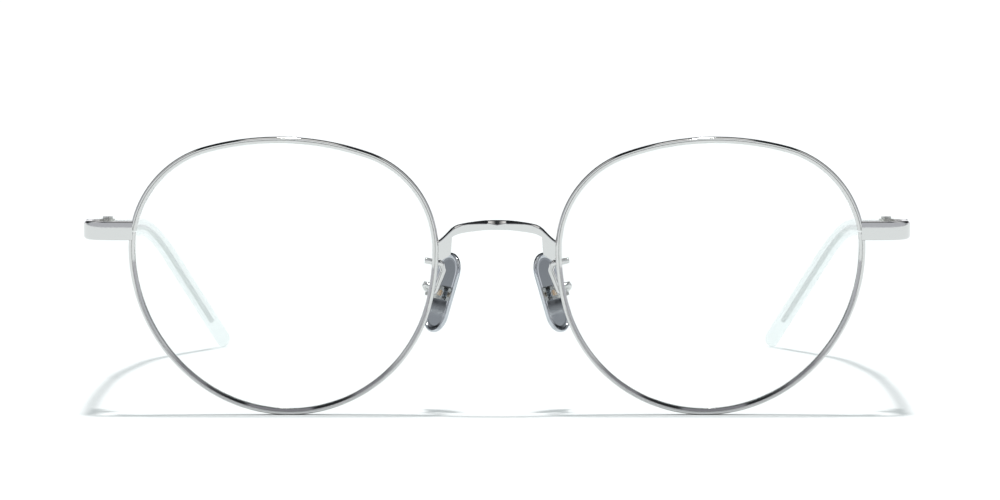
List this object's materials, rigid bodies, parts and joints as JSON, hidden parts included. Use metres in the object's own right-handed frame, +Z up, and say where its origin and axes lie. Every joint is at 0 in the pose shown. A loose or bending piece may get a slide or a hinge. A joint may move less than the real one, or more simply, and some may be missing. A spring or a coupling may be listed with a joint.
{
  "type": "eyeglasses",
  "caption": "Round wire eyeglasses: split metal rims with clear lenses, forged bridge, rocking metal nose pads and folding bowed temples with clear tips.",
  "frame": {"origin": "on the surface that the open glasses rest on, under the middle of their width and length", "axes": "+Z up; the front faces -Y, the temples run towards +Y, and +X is the wearer's left"},
  "size_m": [0.142, 0.1322, 0.0464],
  "materials": {
    "rim_metal": "polished",
    "bridge_metal": "polished",
    "end_piece_metal": "polished",
    "block_metal": "tumbled",
    "hinge_metal": "tumbled",
    "wire_metal": "polished",
    "pad_box_metal": "tumbled",
    "pad_metal": "polished",
    "temple_metal": "polished",
    "screw_steel": "turned",
    "washer_brass": "rolled",
    "pad_screw_brass": "turned",
    "lens_clear": "polished",
    "tip_acetate": "polished"
  },
  "bodies": {
    "front": {"bridge": "bridge_metal", "rim_left": "rim_metal", "lens_left": "lens_clear", "end_piece_left": "end_piece_metal", "rim_lock_upper_left": "block_metal", "rim_lock_lower_left": "block_metal", "rim_lock_screw_left": "screw_steel", "front_hinge_leaf_left": "hinge_metal", "hinge_screw_left": "screw_steel", "pad_arm_left": "wire_metal", "pad_box_left": "pad_box_metal", "pad_screw_left": "pad_screw_brass", "rim_right": "rim_metal", "lens_right": "lens_clear", "end_piece_right": "end_piece_metal", "rim_lock_upper_right": "block_metal", "rim_lock_lower_right": "block_metal", "rim_lock_screw_right": "screw_steel", "front_hinge_leaf_right": "hinge_metal", "hinge_screw_right": "screw_steel", "pad_arm_right": "wire_metal", "pad_box_right": "pad_box_metal", "pad_screw_right": "pad_screw_brass"},
    "left_temple": {"temple_left": "temple_metal", "temple_tip_left": "tip_acetate", "temple_hinge_leaf_left": "hinge_metal", "hinge_washers_left": "washer_brass"},
    "right_temple": {"temple_right": "temple_metal", "temple_tip_right": "tip_acetate", "temple_hinge_leaf_right": "hinge_metal", "hinge_washers_right": "washer_brass"},
    "left_pad": {"nose_pad_left": "pad_metal"},
    "right_pad": {"nose_pad_right": "pad_metal"}
  },
  "joints": [
    {"name": "left_temple_fold", "type": "hinge", "parent": "front", "child": "left_temple", "pos_m": [0.0654, -0.0568, 0.03075], "axis": [0, 0, 1], "range_deg": [0, 86]},
    {"name": "right_temple_fold", "type": "hinge", "parent": "front", "child": "right_temple", "pos_m": [-0.0654, -0.0568, 0.03075], "axis": [0, 0, -1], "range_deg": [0, 77]},
    {"name": "left_pad_rock", "type": "hinge", "parent": "front", "child": "left_pad", "pos_m": [0.01021, -0.05748, 0.02019], "axis": [-0.5235, -0.8387, -0.1501], "range_deg": [-10, 10]},
    {"name": "right_pad_rock", "type": "hinge", "parent": "front", "child": "right_pad", "pos_m": [-0.01021, -0.05748, 0.02019], "axis": [-0.5235, 0.8387, 0.1501], "range_deg": [-10, 10]}
  ]
}
